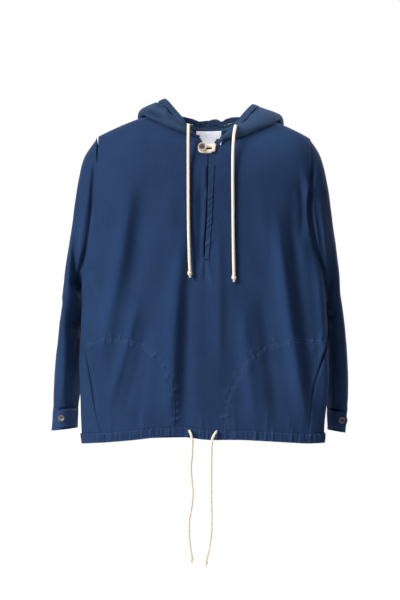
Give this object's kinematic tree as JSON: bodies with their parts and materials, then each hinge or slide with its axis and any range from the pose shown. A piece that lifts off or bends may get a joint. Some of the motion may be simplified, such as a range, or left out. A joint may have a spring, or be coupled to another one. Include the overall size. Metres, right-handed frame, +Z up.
{
  "type": "anorak pullover",
  "caption": "Hooded pullover anorak of woven cloth, filled out and hollow, with a slit neck closed by a button and loop, curved pockets, tabbed cuffs and cord-drawn hood and hem.",
  "frame": {"origin": "middle of the neck at the height of the shoulders, where the wearer's shoulders carry the garment", "axes": "+Z up, the front faces -Y, the wearer's left is +X"},
  "size_m": [0.6076, 0.2708, 0.947],
  "materials": {
    "navy_cloth": "matte washed navy cotton weave",
    "hood_cloth": "matte washed navy cotton weave, slightly paler",
    "cream_cord": "undyed braided cotton cord",
    "white_label": "bare white woven tape",
    "horn_button": "brown horn-look plastic, satin"
  },
  "bodies": {
    "root": {"front": "navy_cloth", "back": "navy_cloth", "slit_facing": "navy_cloth", "sleeve_right": "navy_cloth", "sleeve_left": "navy_cloth", "cuff_right": "navy_cloth", "cuff_left": "navy_cloth", "tab_right": "navy_cloth", "tab_left": "navy_cloth", "pocket_right": "navy_cloth", "pocket_left": "navy_cloth", "hem_front": "navy_cloth", "hem_back": "navy_cloth", "hood_right": "hood_cloth", "hood_left": "hood_cloth", "hood_casing": "hood_cloth", "neck_loop": "cream_cord", "loop_tie": "cream_cord", "hood_cord_right": "cream_cord", "hood_cord_left": "cream_cord", "hood_knot_right": "cream_cord", "hood_knot_left": "cream_cord", "hem_cord_right": "cream_cord", "hem_cord_left": "cream_cord", "hem_knot_right": "cream_cord", "hem_knot_left": "cream_cord", "button_neck": "horn_button", "button_right": "horn_button", "button_left": "horn_button", "neck_label": "white_label"}
  },
  "joints": []
}
